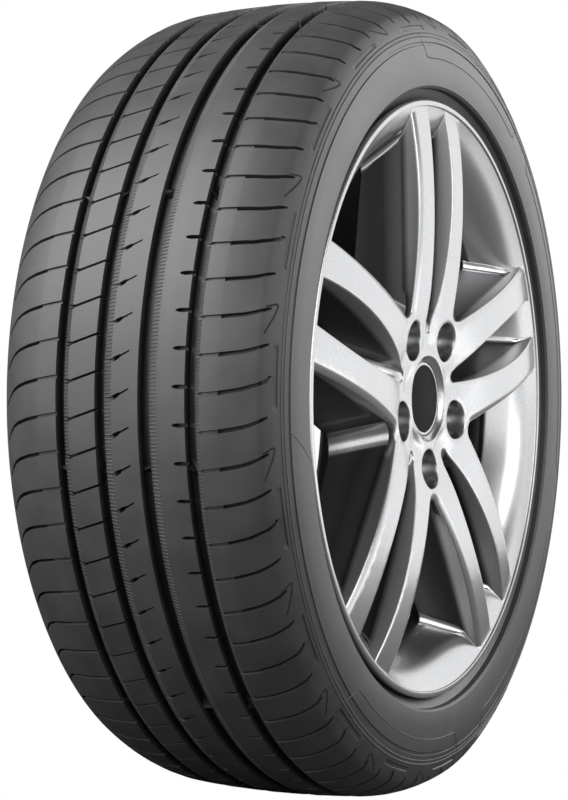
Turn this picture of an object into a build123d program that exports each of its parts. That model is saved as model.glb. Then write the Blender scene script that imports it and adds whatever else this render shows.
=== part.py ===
from build123d import *
import math
import os

# A car wheel: a low-profile road tyre on a cast alloy wheel with five pairs of spokes.
# Everything is drawn around the Z axis with the outboard side towards +Z, and turned at the end
# so that the wheel's axis runs along Y, the outboard side faces -Y and +Z is up.
# Lengths are in millimetres and angles in degrees. The origin is the wheel's centre.

# Rim section, as on a 7.5J x 17 rim
bead_seat_radius = 218.3
bead_seat_width = 20.0
bead_seat_taper = 5.0
rim_width = 190.5
flange_height = 17.3
flange_round = 9.6
lip_round = 1.9
lip_width = 4.8
lip_step = 1.6
lip_edge_round = 0.6
heel_round = 6.5
seat_end_round = 1.5
well_depth = 20.0
well_width = 28.0
well_slope_run = 13.0
well_front_round = 5.0
well_back_round = 8.0
ledge_depth = 9.0
ledge_run = 26.0
ledge_round = 12.0
barrel_wall = 5.8
dish_foot_rise = 2.3
dish_foot_round = 10.0
dish_top_round = 6.0

# Spokes and hub
spoke_pairs = 5
mount_offset = 45.0
hub_pad_radius = 74.0
hub_face_drop = 9.2
hub_face_radius = 60.0
hub_face_slope = 1.1
spoke_crown_rise = 3.6
spoke_crown_radius = 150.0
spoke_end_drop = 3.4
spoke_back_rise = 10.0
spoke_back_round = 8.0
hub_pad_round = 2.0
spoke_depth = 38.0
pair_root_width = 80.4
pair_end_width = 93.0
window_round = 12.0
gap_width = 37.5
gap_widest_radius = 185.0
gap_side_radius = 600.0
gap_tip_width = 7.0
gap_tip_round = 3.0
crease_depth = 15.4
front_draft = 5.0
window_draft = 24.0
gap_draft = 13.0

# Hub bore, wheel bolt holes and the pocket for the centre cap
hub_bore_radius = 28.55
hub_bore_length = 25.0
bolt_circle_radius = 56.0
bolt_hole_radius = 7.5
bolt_seat_radius = 12.5
bolt_pocket_radius = 15.5
bolt_seat_height = 18.0
bolt_pocket_depth = 14.0
cap_recess_radius = 33.8
cap_radius = 29.4
cap_clearance = 0.4
cap_below_face = 4.0
cap_thickness = 9.0
snap_lip_width = 1.3
snap_groove_depth = 0.9
snap_groove_width = 10.0

# Centre cap
disc_radius = 26.6
disc_thickness = 2.0
disc_crown = 0.9
disc_clearance = 0.1
cap_wall = 2.2
cap_ring_round = 1.2
cap_seat_round = 0.6
finger_count = 6
finger_gap = 7.0
finger_slot_depth = 8.8
finger_hook = 1.5
finger_hook_height = 3.2
spring_wire_radius = 0.7

# Tyre section, as on a 225/45 tyre
tyre_radius = 317.15
section_width = 225.0
widest_height = 48.2
tread_flat_width = 124.0
tread_flat_drop = 2.4
shoulder_width = 201.0
shoulder_drop = 15.5
tread_thickness = 15.5
sidewall_thickness = 8.0
bead_clearance = 0.2
bead_lift_angle = 35.0
protector_radius = 243.5
protector_height = 2.5
protector_inset = 1.5
protector_round = 2.0
cavity_shoulder_round = 28.0
cavity_side_round = 25.0
bead_taper_height = 25.7
bead_taper_inset = 13.5
bead_toe_width = 4.0

# Tread pattern: distances across the tread are measured from its middle, outboard positive,
# and a phase is the share of a pitch by which a row of slots is turned
groove_depth = 7.5
groove_wall_lean = 0.7
chamfer_depth = 2.6
groove_edges = (-51.0, -18.7, 15.4, 51.0)
groove_floors = (5.6, 6.4, 7.8, 7.0)
groove_chamfers = (4.9, 6.4, 6.3, 3.8)
pitch_count = 76
slot_width = 3.0
slot_depth = 5.5
slot_slope = 11.0
slot_overrun = 5.3
outer_slot_phase = -0.148
inner_slot_phase = 0.355
slot_bend_share = 0.65
slot_band_angle = 20.0

# Snap-in tyre valve
valve_angle = 234.0
valve_hole_radius = 5.75
valve_seat_wall = 4.5
valve_spot_radius = 9.5
valve_base_radius = 8.4
valve_base_thickness = 4.0
valve_neck_clearance = 0.1
valve_collar_radius = 7.4
valve_rubber_length = 13.0
valve_tip_radius = 5.2
valve_stem_radius = 3.85
valve_stem_bore = 2.5
valve_stem_length = 21.0
valve_core_length = 14.0
valve_core_clearance = 0.05
valve_pin_radius = 0.8
valve_pin_length = 1.5
valve_cap_wall = 1.2
valve_cap_length = 9.0
valve_cap_top = 1.6
valve_round = 1.0
valve_fine_round = 0.4

# Levels and radii that follow from the sizes above
flange_radius = bead_seat_radius + flange_height
flange_face = rim_width / 2
lip_face = flange_face + flange_round + lip_round
lip_inner_radius = flange_radius - lip_width
seat_end = flange_face - bead_seat_width
seat_fall = bead_seat_width * math.tan(math.radians(bead_seat_taper))
seat_end_radius = bead_seat_radius - seat_fall
well_radius = bead_seat_radius - well_depth
well_front = seat_end - well_slope_run
well_back = well_front - well_width
well_inner_radius = well_radius - barrel_wall
ledge_radius = bead_seat_radius - ledge_depth
ledge_height = well_back - ledge_run
dish_top_radius = bead_seat_radius - barrel_wall
dish_foot_height = well_front + dish_foot_rise

spoke_end_height = lip_face - spoke_end_drop
spoke_crown_height = lip_face + spoke_crown_rise
hub_face_height = lip_face - hub_face_drop
hub_face_edge_height = hub_face_height + hub_face_slope
spoke_back_height = spoke_end_height - spoke_depth
crease_height = spoke_crown_height - crease_depth
pair_step = 360 / spoke_pairs
first_pair_angle = 90.0
first_window_angle = first_pair_angle - pair_step / 2

cap_front_height = hub_face_height - cap_below_face
cap_pocket_radius = cap_radius + cap_clearance
cap_seat_height = cap_front_height - cap_thickness
snap_lip_radius = hub_bore_radius - snap_lip_width
bore_top = mount_offset + hub_bore_length
snap_lip_foot = bore_top + snap_groove_width
snap_groove_radius = hub_bore_radius + snap_groove_depth

cut_margin = 6.0


def rounded_line(corners, close=False):
    """Line through (radius, height, corner rounding) triples; open ends keep no rounding."""
    points = [(radius, height) for radius, height, _ in corners]
    rounds = [rounding for _, _, rounding in corners]
    if not close:
        rounds = rounds[1:-1]
    return FilletPolyline(*points, radius=rounds, close=close)


def turned(outline):
    """Solid of revolution about the wheel's axis from a closed outline of radius and height."""
    return revolve(Plane.XZ * make_face(outline), Axis.Z)


def polar_copies(shape, count, first_angle=0.0):
    """Copies of a shape, evenly spaced around the wheel's axis."""
    return [Rot(Z=first_angle + index * 360 / count) * shape for index in range(count)]


# Alloy wheel

def rim_barrel():
    """The rim: both flanges, bead seats, the well, and the open barrel inside."""
    tyre_side = [
        (flange_radius, lip_face, lip_round),
        (flange_radius, flange_face, flange_round),
        (bead_seat_radius, flange_face, heel_round),
        (seat_end_radius, seat_end, seat_end_round),
        (well_radius, well_front, well_front_round),
        (well_radius, well_back, well_back_round),
        (ledge_radius, ledge_height, ledge_round),
        (seat_end_radius, -seat_end, seat_end_round),
        (bead_seat_radius, -flange_face, heel_round),
        (flange_radius, -flange_face, flange_round),
        (flange_radius, -lip_face, lip_round),
    ]
    hub_side = [
        (lip_inner_radius, -lip_face, lip_round),
        (dish_top_radius, -flange_face, dish_top_round),
        (ledge_radius - barrel_wall, ledge_height, ledge_round),
        (well_inner_radius, well_back, well_back_round),
        (well_inner_radius, dish_foot_height, dish_foot_round),
        (dish_top_radius, flange_face, dish_top_round),
        (lip_inner_radius, lip_face - lip_step, lip_edge_round),
        (lip_inner_radius, lip_face, lip_edge_round),
    ]
    return turned(rounded_line(tyre_side + hub_side, close=True))


def spider_disc():
    """The disc that the spokes are cut from, with the hub pad, hub bore and cap pocket."""
    anchor = barrel_wall / 2
    back = [
        (cap_recess_radius, hub_face_height, 0),
        (cap_pocket_radius, hub_face_height - cap_below_face, 0),
        (cap_pocket_radius, cap_seat_height, 0),
        (snap_lip_radius, cap_seat_height, 0),
        (snap_lip_radius, snap_lip_foot, 0),
        (snap_groove_radius, snap_lip_foot, 0),
        (snap_groove_radius, bore_top, 0),
        (hub_bore_radius, bore_top, 0),
        (hub_bore_radius, mount_offset, 0),
        (hub_pad_radius, mount_offset, hub_pad_round),
        (hub_pad_radius + spoke_back_rise, mount_offset + spoke_back_rise, spoke_back_round),
        (well_inner_radius + anchor, spoke_back_height, 0),
        (dish_top_radius + anchor, flange_face, 0),
        (lip_inner_radius + anchor, spoke_end_height - anchor, 0),
        (lip_inner_radius + anchor, spoke_end_height, 0),
    ]
    front = ThreePointArc(
        (lip_inner_radius + anchor, spoke_end_height),
        (spoke_crown_radius, spoke_crown_height),
        (hub_face_radius, hub_face_edge_height),
    )
    hub_front = Line((hub_face_radius, hub_face_edge_height), (cap_recess_radius, hub_face_height))
    return turned(rounded_line(back) + front + hub_front)


def wall_inset(height, draft):
    """How far a spoke's side wall has leaned into its opening at a height: steep in front of the
    crease, flatter behind it."""
    front_lean = math.tan(math.radians(front_draft))
    if height >= crease_height:
        return (spoke_end_height - height) * front_lean
    at_crease = (spoke_end_height - crease_height) * front_lean
    return at_crease + (crease_height - height) * math.tan(math.radians(draft))


def window_outline(inset):
    """The opening between two pairs, its centre line along +Y: two straight sides that meet in a
    round end next to the bolt hole."""
    half_step = pair_step / 2

    def side(distance, width):
        return Vector(-width / 2 - inset, distance).rotate(Axis.Z, -half_step)

    root = side(hub_pad_radius, pair_root_width)
    end = side(lip_inner_radius, pair_end_width)
    run = end - root
    apex = root - run * (root.X / run.X)
    far = end + run * ((flange_radius + cut_margin - end.Y) / run.Y)
    corners = [(apex.X, apex.Y, window_round), (far.X, far.Y, 0), (-far.X, far.Y, 0)]
    return make_face(rounded_line(corners, close=True))


def gap_outline(inset):
    """The narrow opening between the two spokes of a pair, its centre line along +Y: a long leaf
    with arcs for sides and a rounded end at the hub."""
    half = gap_width / 2 - inset
    tip_half = gap_tip_width / 2
    reach = flange_radius + 2 * cut_margin

    def along(half_width):
        return math.sqrt(2 * gap_side_radius * (half - half_width))

    tip = gap_widest_radius - along(tip_half)
    end_half = half - (reach - gap_widest_radius) ** 2 / (2 * gap_side_radius)
    right = ThreePointArc((tip_half, tip), (half, gap_widest_radius), (end_half, reach))
    left = ThreePointArc((-end_half, reach), (-half, gap_widest_radius), (-tip_half, tip))
    outline = right + Line(right @ 1, left @ 0) + left + Line(left @ 1, right @ 0)
    face = make_face(outline)
    return fillet(face.vertices().group_by(Axis.Y)[0], gap_tip_round)


def opening_tool(outline, draft, foot):
    """Cutter through the disc, with the crease where its walls change slope."""
    levels = (spoke_crown_height + cut_margin, crease_height, foot)
    return loft([Pos(Z=z) * outline(wall_inset(z, draft)) for z in levels], ruled=True)


def bolt_hole_tool():
    """Stepped hole for a wheel bolt: pocket, seat and through hole."""
    seat_foot = mount_offset + bolt_seat_height
    pocket_floor = hub_face_height - bolt_pocket_depth
    seat_slope = bolt_seat_radius - bolt_hole_radius
    hole = [
        (0, spoke_crown_height, 0),
        (bolt_pocket_radius, spoke_crown_height, 0),
        (bolt_pocket_radius, pocket_floor, 0),
        (bolt_seat_radius, pocket_floor, 0),
        (bolt_seat_radius, seat_foot + seat_slope, 0),
        (bolt_hole_radius, seat_foot, 0),
        (bolt_hole_radius, mount_offset - cut_margin, 0),
        (0, mount_offset - cut_margin, 0),
    ]
    return Pos(Y=bolt_circle_radius) * turned(rounded_line(hole, close=True))


# The valve stands square to the slope between the outboard bead seat and the well
slope_run = Vector(seat_end_radius - well_radius, 0, seat_end - well_front)
slope_middle = Vector((seat_end_radius + well_radius) / 2, 0, (seat_end + well_front) / 2)
valve_axis = Vector(-slope_run.Z, 0, slope_run.X)
valve_plane = Plane(slope_middle, x_dir=(0, 1, 0), z_dir=valve_axis)
valve_place = Rot(Z=valve_angle) * valve_plane.location


def valve_hole_tool():
    """Hole for the valve, with a flat spot around it on the outside of the rim."""
    reach = valve_seat_wall + valve_stem_length
    hole = Cylinder(valve_hole_radius, reach)
    spot = Pos(Z=valve_seat_wall) * Cylinder(
        valve_spot_radius, reach, align=(Align.CENTER, Align.CENTER, Align.MIN)
    )
    return valve_place * (hole + spot)


def alloy_wheel():
    window = opening_tool(window_outline, window_draft, mount_offset - cut_margin)
    gap = opening_tool(gap_outline, gap_draft, mount_offset + spoke_back_rise / 2)
    openings = polar_copies(window, spoke_pairs, first_window_angle - 90)
    openings += polar_copies(gap, spoke_pairs, first_pair_angle - 90)
    bolt_holes = polar_copies(bolt_hole_tool(), spoke_pairs, first_window_angle - 90)
    spider = spider_disc() - openings - bolt_holes
    return rim_barrel() + spider - valve_hole_tool()


# Centre cap

def cap_body():
    """Cap moulding: a bright ring around the disc's seat, and snap fingers behind it."""
    finger_outer = snap_lip_radius - cap_clearance
    finger_inner = finger_outer - cap_wall
    hook_top = snap_lip_foot - cap_clearance
    hook_foot = hook_top - finger_hook_height
    floor_height = cap_front_height - disc_thickness
    section = [
        (0, floor_height, 0),
        (disc_radius, floor_height, 0),
        (disc_radius, cap_front_height, cap_seat_round),
        (cap_radius, cap_front_height, cap_ring_round),
        (cap_radius, cap_seat_height, 0),
        (finger_outer, cap_seat_height, 0),
        (finger_outer, hook_top, 0),
        (finger_outer + finger_hook, hook_top, 0),
        (finger_outer, hook_foot, 0),
        (finger_inner, hook_foot, 0),
        (finger_inner, floor_height - cap_wall, 0),
        (0, floor_height - cap_wall, 0),
    ]
    moulding = turned(rounded_line(section, close=True))
    slot_top = cap_seat_height - cap_clearance
    slot = Pos(X=finger_outer, Z=slot_top) * Box(
        finger_slot_depth, finger_gap, slot_top - hook_foot + cut_margin,
        align=(Align.CENTER, Align.CENTER, Align.MAX),
    )
    return moulding - polar_copies(slot, finger_count)


def cap_disc():
    """Plain dark disc with a low dome, let into the front of the cap."""
    foot = cap_front_height - disc_thickness
    rim = disc_radius - disc_clearance
    edge = rounded_line([(0, foot, 0), (rim, foot, 0), (rim, cap_front_height, 0)])
    middle = cap_front_height + disc_crown
    dome = ThreePointArc((rim, cap_front_height), (0, middle), (-rim, cap_front_height))
    half_dome = dome.trim(0, 0.5)
    return turned(edge + half_dome + Line((0, middle), (0, foot)))


def cap_spring_ring():
    """Wire ring inside the snap fingers."""
    finger_inner = snap_lip_radius - cap_clearance - cap_wall
    ring_height = snap_lip_foot - cap_clearance - finger_hook_height / 2
    return Pos(Z=ring_height) * Torus(finger_inner - spring_wire_radius, spring_wire_radius)


# Tyre

def crown_line():
    """Outer line of the tread from its middle to the outboard shoulder: a flat arc, then a tighter one."""
    flat = TangentArc(
        (tyre_radius, 0), (tyre_radius - tread_flat_drop, tread_flat_width / 2), tangent=(0, 1)
    )
    shoulder = TangentArc(
        flat @ 1, (tyre_radius - shoulder_drop, shoulder_width / 2), tangent=flat % 1
    )
    return flat, shoulder


def tread_surface(height):
    """Radius of the tread's surface at a distance from its middle, within the flat part."""
    return tyre_radius - tread_flat_drop * (height / (tread_flat_width / 2)) ** 2


def bead_line():
    """Outboard bead from its toe, over the seat and up the flange, to the rim protector's edge."""
    lift = math.radians(bead_lift_angle)
    wrap = flange_round + bead_clearance
    lift_radius = flange_radius - flange_round + wrap * math.tan(lift / 2)
    face = flange_face - bead_clearance
    root_height = face + (protector_radius - lift_radius) * math.tan(lift)
    protector_edge = section_width / 2 - protector_inset
    return rounded_line([
        (seat_end_radius + bead_clearance, seat_end, 0),
        (bead_seat_radius + bead_clearance, face, heel_round),
        (lift_radius, face, wrap),
        (protector_radius, root_height, protector_round),
        (protector_radius + protector_height, protector_edge, 0),
    ])


def tyre_section():
    """Half outline from the bead's toe to the middle of the tread, mirrored, less the air space."""
    flat, shoulder = crown_line()
    bead = bead_line()
    widest = (bead_seat_radius + widest_height, section_width / 2)
    lower_side = TangentArc(widest, bead @ 1, tangent=(-1, 0))
    upper_side = TangentArc(widest, shoulder @ 1, tangent=(1, 0))
    half = bead + lower_side + upper_side + shoulder + flat
    toe = bead @ 0
    outline = half + mirror(half, about=Plane.XZ) + Line((toe.X, toe.Y), (toe.X, -toe.Y))

    inner_side = section_width / 2 - sidewall_thickness
    taper_radius = bead_seat_radius + bead_taper_height
    taper_side = section_width / 2 - sidewall_thickness - bead_taper_inset
    inner_crown = tyre_radius - tread_thickness
    shoulder_side = shoulder_width / 2 - tread_thickness
    mouth_radius = toe.X - cut_margin
    mouth_side = seat_end - bead_toe_width
    side = [
        (mouth_radius, mouth_side, 0),
        (taper_radius, taper_side, cavity_side_round),
        (bead_seat_radius + widest_height, inner_side, cavity_side_round),
        (inner_crown, shoulder_side, cavity_shoulder_round),
    ]
    other_side = [(radius, -height, rounding) for radius, height, rounding in reversed(side)]
    cavity = make_face(rounded_line(side + other_side, close=True))
    return make_face(outline) - cavity


def groove_section(edge, floor, chamfer):
    """Cut for one groove around the tread: a deep floor, and a chamfer on its outboard edge."""
    step = edge + floor
    floor_radius = tread_surface(edge) - groove_depth
    above = tyre_radius + cut_margin
    step_radius = tread_surface(step) - chamfer_depth
    chamfer_rise = tread_surface(step + chamfer) - step_radius
    chamfer_run = chamfer * (above - step_radius) / chamfer_rise
    return make_face(Polyline(
        (above, edge - groove_wall_lean),
        (floor_radius, edge + groove_wall_lean),
        (floor_radius, step - groove_wall_lean),
        (step_radius, step),
        (above, step + chamfer_run),
        close=True,
    ))


def shoulder_slot(start, side):
    """Cut for one slot across a shoulder rib, at the +X side of the tyre. It runs from a groove out
    over the shoulder, keeps its depth below the curved surface and runs out on the sidewall."""
    flat, shoulder = crown_line()
    above = tyre_radius + cut_margin
    bend = shoulder @ slot_bend_share
    end_height = shoulder_width / 2 + slot_overrun
    band_face = make_face(Polyline(
        (above, start),
        (tread_surface(start) - slot_depth, start),
        (bend.X - slot_depth, bend.Y),
        (tyre_radius - shoulder_drop - slot_overrun, end_height),
        (above, end_height),
        close=True,
    ))
    band = Rot(Z=-slot_band_angle / 2) * revolve(Plane.XZ * band_face, Axis.Z, slot_band_angle)
    length = end_height - start + cut_margin
    lean = length * math.tan(math.radians(slot_slope))
    blade_face = make_face(Polyline(
        (-slot_width / 2, start),
        (slot_width / 2, start),
        (slot_width / 2 - lean, start + length),
        (-slot_width / 2 - lean, start + length),
        close=True,
    ))
    slot = band & extrude(Plane.YZ * blade_face, 2 * tyre_radius)
    return slot if side > 0 else Rot(X=180) * slot


def tyre():
    section = tyre_section()
    for edge, floor, chamfer in zip(groove_edges, groove_floors, groove_chamfers):
        section -= groove_section(edge, floor, chamfer)
    body = revolve(Plane.XZ * section, Axis.Z)
    outer_start = groove_edges[-1] + groove_floors[-1]
    inner_start = -groove_edges[0] - groove_wall_lean
    pitch = 360 / pitch_count
    slots = polar_copies(shoulder_slot(outer_start, 1), pitch_count, outer_slot_phase * pitch)
    slots += polar_copies(shoulder_slot(inner_start, -1), pitch_count, inner_slot_phase * pitch)
    return body - slots


# Valve, drawn along its own axis from the tyre side of the rim

def valve_rubber():
    """Rubber body: a base inside the tyre, a neck in the rim's hole and a tapered collar outside."""
    neck = valve_hole_radius - valve_neck_clearance
    collar_foot = valve_seat_wall
    section = [
        (valve_stem_radius, -valve_base_thickness, 0),
        (valve_base_radius, -valve_base_thickness, valve_round),
        (valve_base_radius, 0, valve_fine_round),
        (neck, 0, 0),
        (neck, collar_foot, 0),
        (valve_collar_radius, collar_foot, valve_round),
        (valve_tip_radius, collar_foot + valve_rubber_length, valve_fine_round),
        (valve_stem_radius, collar_foot + valve_rubber_length, 0),
    ]
    return valve_place * turned(rounded_line(section, close=True))


def valve_stem():
    """Brass stem with a through bore for the core."""
    section = [
        (valve_stem_bore, -valve_base_thickness, 0),
        (valve_stem_radius, -valve_base_thickness, 0),
        (valve_stem_radius, valve_seat_wall + valve_stem_length, valve_fine_round),
        (valve_stem_bore, valve_seat_wall + valve_stem_length, valve_fine_round),
    ]
    return valve_place * turned(rounded_line(section, close=True))


def valve_core():
    """Sealed insert with the end of its pin showing."""
    barrel = valve_stem_bore - valve_core_clearance
    top = valve_seat_wall + valve_stem_length - valve_pin_length
    section = [
        (0, top - valve_core_length, 0),
        (barrel, top - valve_core_length, valve_fine_round),
        (barrel, top, valve_fine_round),
        (valve_pin_radius, top, 0),
        (valve_pin_radius, top + valve_pin_length, valve_fine_round),
        (0, top + valve_pin_length, 0),
    ]
    return valve_place * turned(rounded_line(section, close=True))


def valve_cap():
    """Dust cap, closed at the top, over the end of the stem."""
    bore = valve_stem_radius + valve_core_clearance
    outer = bore + valve_cap_wall
    stem_top = valve_seat_wall + valve_stem_length + valve_core_clearance
    foot = stem_top + valve_cap_top - valve_cap_length
    section = [
        (0, stem_top, 0),
        (bore, stem_top, 0),
        (bore, foot, 0),
        (outer, foot, valve_fine_round),
        (outer, stem_top + valve_cap_top, valve_round),
        (0, stem_top + valve_cap_top, 0),
    ]
    return valve_place * turned(rounded_line(section, close=True))


pieces = {
    "tyre": tyre(),
    "alloy_wheel": alloy_wheel(),
    "cap_body": cap_body(),
    "cap_disc": cap_disc(),
    "cap_spring_ring": cap_spring_ring(),
    "valve_rubber": valve_rubber(),
    "valve_stem": valve_stem(),
    "valve_core": valve_core(),
    "valve_cap": valve_cap(),
}

os.makedirs("parts", exist_ok=True)
for name, piece in pieces.items():
    export_step(Rot(X=90) * piece, f"parts/{name}.step")
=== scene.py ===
import bpy
import math
import numpy as np
from mathutils import Matrix, Vector
from mathutils.geometry import delaunay_2d_cdt


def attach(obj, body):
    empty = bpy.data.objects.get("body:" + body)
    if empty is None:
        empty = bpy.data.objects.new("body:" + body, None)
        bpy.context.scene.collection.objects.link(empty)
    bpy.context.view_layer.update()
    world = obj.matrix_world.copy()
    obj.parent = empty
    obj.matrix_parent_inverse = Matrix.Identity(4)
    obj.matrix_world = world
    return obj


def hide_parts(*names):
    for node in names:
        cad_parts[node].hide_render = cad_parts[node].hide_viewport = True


# A car wheel with its tyre, seen from the tread side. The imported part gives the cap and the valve. The tyre
# and the alloy wheel are drawn again here with their fine detail. Shapes are in millimetres. Finishes, lamps
# and the camera are in metres.

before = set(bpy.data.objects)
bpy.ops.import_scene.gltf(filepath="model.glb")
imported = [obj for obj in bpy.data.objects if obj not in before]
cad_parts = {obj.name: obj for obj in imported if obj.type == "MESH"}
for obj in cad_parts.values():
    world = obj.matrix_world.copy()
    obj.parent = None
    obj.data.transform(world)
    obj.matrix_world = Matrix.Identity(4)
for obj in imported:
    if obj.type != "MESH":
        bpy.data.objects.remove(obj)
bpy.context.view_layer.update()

MILLIMETRE = 0.001

# Tyre section, measured from the tread's middle (outboard positive) and from the wheel's axis
TYRE_RADIUS = 317.15
FLAT_HALF_WIDTH = 62.0
FLAT_ARC_RADIUS = 802.0
SHOULDER_HALF_WIDTH = 100.5
SHOULDER_RADIUS = 301.65
SIDE_HALF_WIDTH = 112.5
SIDE_CENTRE_RADIUS = 266.5
SIDE_ARC_RADIUS = 57.5
# The hidden inside down to the bead, and the sidewall below its arc, as (half width, radius) points
INSIDE = (
    (85.0, 300.0), (97.0, 287.0), (104.0, 272.0), (103.0, 257.0), (93.0, 246.0), (74.6, 216.95),
    (75.3, 216.9), (89.5, 218.1), (93.6, 219.6), (95.0, 223.0), (95.0, 226.2),
)
LOWER_SIDE = (
    (95.5, 229.05), (96.85, 231.7), (105.0, 243.6), (109.2, 244.2), (110.9, 246.0), (111.7, 250.5),
    (112.3, 257.5),
)

# Tread pattern. Places around it and half widths of cuts are in pitches.
PITCHES = 76
PITCH_ANGLE = 360.0 / PITCHES
PATTERN_REPEAT = 4
COLUMNS = 12
SIDE_COLUMNS = 6
BEAD_COLUMNS = 1
GROOVE_DEPTH = 7.5
GROOVE_DARK_FROM = 1.2
GROOVE_DARK_TO = 4.2
WALL_LEAN = 0.7
CHAMFER_DEPTH = 2.6
SIPE_DEPTH = 5.0
DART_STEP = 1.2
SLOT_DEPTH = 5.5
TIE_BAR_DEPTH = 1.6
WEAR_BAR_DEPTH = 2.8
WEAR_BAR_HALF = 0.07
WEAR_BAR_STEP = 7.6
WEAR_BAR_FIRST = 39.8
LINE_DEPTH = 0.9
FEATURE_EDGE = 0.012


def crown_radius(across):
    """Radius of the tread's surface at a distance from its middle, out to the shoulder's corner."""
    across = abs(across)
    centre = TYRE_RADIUS - FLAT_ARC_RADIUS
    if across <= FLAT_HALF_WIDTH:
        return centre + math.sqrt(FLAT_ARC_RADIUS ** 2 - across ** 2)
    flat_edge = centre + math.sqrt(FLAT_ARC_RADIUS ** 2 - FLAT_HALF_WIDTH ** 2)
    lean = math.asin(FLAT_HALF_WIDTH / FLAT_ARC_RADIUS)
    run = SHOULDER_HALF_WIDTH - FLAT_HALF_WIDTH
    drop = flat_edge - SHOULDER_RADIUS
    arc = (run ** 2 + drop ** 2) / (2 * (drop * math.cos(lean) - run * math.sin(lean)))
    arc_across = FLAT_HALF_WIDTH - arc * math.sin(lean)
    arc_centre = flat_edge - arc * math.cos(lean)
    return arc_centre + math.sqrt(arc ** 2 - (across - arc_across) ** 2)


def side_width(radius):
    """Distance of the upper sidewall from the tyre's middle plane at a radius."""
    centre = SIDE_HALF_WIDTH - SIDE_ARC_RADIUS
    return centre + math.sqrt(SIDE_ARC_RADIUS ** 2 - (radius - SIDE_CENTRE_RADIUS) ** 2)


def on_tread(across):
    """Point and outward normal, as (across, radius) pairs, on the tread."""
    step = 0.05
    low = crown_radius(across - step)
    high = crown_radius(across + step)
    length = math.hypot(2 * step, high - low)
    return (across, crown_radius(across)), ((low - high) / length, 2 * step / length)


def on_side(radius, side):
    """Point and outward normal on the upper sidewall; side is 1 outboard and -1 inboard."""
    lift = (radius - SIDE_CENTRE_RADIUS) / SIDE_ARC_RADIUS
    lean = math.sqrt(1 - lift ** 2)
    return (side * side_width(radius), radius), (side * lean, lift)


class Skin:
    """A closed skin around the wheel's axis, made of rows of points that run around it."""

    def __init__(self):
        self.points = []
        self.faces = []
        self.rows = []
        self.count = 0

    def add_row(self, place, offsets, depth=0.0):
        """Adds one row. offsets holds each column's place within its pitch; depth is cut along the normal."""
        (across, radius), (normal_across, normal_radius) = place
        offsets = np.broadcast_to(np.asarray(offsets, float), (PITCHES, np.shape(offsets)[-1]))
        columns = offsets.shape[1]
        depth = np.broadcast_to(np.asarray(depth, float), (PITCHES, columns))
        turn = np.radians((np.arange(PITCHES)[:, None] + offsets) * PITCH_ANGLE).ravel()
        cut = depth.ravel()
        reach = radius - cut * normal_radius
        width = across - cut * normal_across
        row = np.stack([reach * np.cos(turn), -width, reach * np.sin(turn)], axis=1)
        self.points.append(row)
        self.rows.append((self.count, len(row)))
        self.count += len(row)

    def join(self, first, second):
        """Faces between two rows; a row with more columns meets the other in many-sided faces."""
        start_a, count_a = first
        start_b, count_b = second
        coarse = min(count_a, count_b)
        share_a = count_a // coarse
        share_b = count_b // coarse
        for column in range(coarse):
            lower = [start_a + (column * share_a + k) % count_a for k in range(share_a + 1)]
            upper = [start_b + (column * share_b + k) % count_b for k in range(share_b + 1)]
            self.faces.append(lower + upper[::-1])

    def close(self):
        """Joins all rows, and the last one to the first; returns the points and faces."""
        ring = self.rows + self.rows[:1]
        for first, second in zip(ring, ring[1:]):
            self.join(first, second)
        return np.concatenate(self.points), self.faces


def spread(centre, half):
    """Column places for one pitch: four at a slot's two walls, the rest evenly between slots."""
    outer = half + FEATURE_EDGE
    slot = [centre - outer, centre - half, centre + half, centre + outer]
    rest = np.linspace(centre + outer, centre + 1 - outer, COLUMNS - 2)[1:-1]
    return np.array(slot + list(rest))


def even(centre, columns=COLUMNS):
    """Evenly spaced column places for one pitch."""
    lead = FEATURE_EDGE * 2
    return centre - lead + np.arange(columns) / columns


def slot_cut(depth):
    """Depths for one pitch: the two middle columns of the slot are cut."""
    cut = np.zeros(COLUMNS)
    cut[1:3] = depth
    return cut


def wear_cut(offsets):
    """Groove floor depths for all pitches, less where the wear bars stand."""
    places = np.arange(PITCHES)[:, None] + np.asarray(offsets)
    nearest = (places - WEAR_BAR_FIRST + WEAR_BAR_STEP / 2) % WEAR_BAR_STEP - WEAR_BAR_STEP / 2
    return np.where(np.abs(nearest) < WEAR_BAR_HALF, WEAR_BAR_DEPTH, GROOVE_DEPTH)


# How the slots and sipes run: distance from the tread's middle, then place
INNER_PATH = (
    (51.0, 0.355), (66.0, 0.435), (78.0, 0.525), (86.0, 0.62), (91.0, 0.73), (95.3, 0.92), (98.0, 1.12),
)
SIPE_PATH = ((18.7, 0.24), (40.5, 0.50))
DART_PATH = ((-8.4, -0.31), (5.9, -0.04))
NOTCH_PLACE = -0.365
OUTER_PATH = (
    (58.0, -0.148), (72.6, -0.193), (83.0, -0.248), (89.3, -0.289), (95.2, -0.358), (100.5, -0.452),
    (104.0, -0.545),
)
HOOK_PATH = (
    (58.0, -0.148), (72.3, -0.187), (89.1, -0.293), (98.0, -0.415), (101.7, -0.476), (104.3, -0.59),
    (106.3, -0.805),
)
HOOK_TYPE = 2
HOOK_LINE = (0.458, 2.195)
HOOK_SHIFT = 4 / COLUMNS - 0.08

# Grooves around the tread: inboard edge, width of the floor, width of the chamfer after it
GROOVES = ((-51.0, 5.6, 4.9), (-18.7, 6.4, 6.4), (15.4, 7.8, 6.3), (51.0, 7.0, 3.8))

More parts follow.
